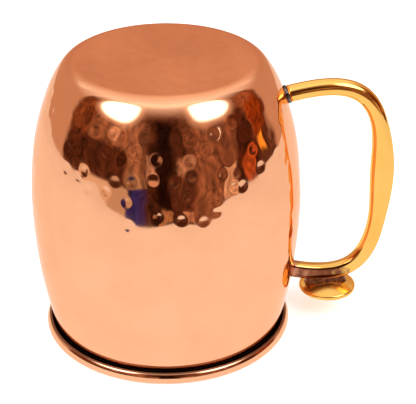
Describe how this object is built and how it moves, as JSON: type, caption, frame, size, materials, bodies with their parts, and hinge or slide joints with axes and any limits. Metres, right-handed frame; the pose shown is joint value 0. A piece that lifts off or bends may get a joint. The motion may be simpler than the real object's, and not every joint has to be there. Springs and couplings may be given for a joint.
{
  "type": "barrel mug",
  "caption": "Barrel-shaped spun copper mug with a rolled rim, a cast brass loop handle and a round brass thumb rest.",
  "frame": {"origin": "centre of the base's flat outer face, on the mug's axis; the mug is stored mouth down, as pictured, so it hangs below z = 0 and its rim stands at z = -0.100", "axes": "+Z out of the base's outer face, +X from the mug's axis towards the handle, +Y across the handle's plane"},
  "size_m": [0.125, 0.0916, 0.1],
  "materials": {
    "copper": "polished, with a satin base",
    "brass": "polished",
    "thumb_rest_brass": "polished",
    "dark_braze": "heat-blackened",
    "brown_braze": "heat-stained",
    "gold_braze": "heat-stained"
  },
  "bodies": {
    "root": {"mug_body": "copper", "handle": "brass", "thumb_rest": "thumb_rest_brass", "base_joint_braze": "dark_braze", "rim_joint_braze": "brown_braze", "thumb_rest_braze": "gold_braze"}
  },
  "joints": []
}
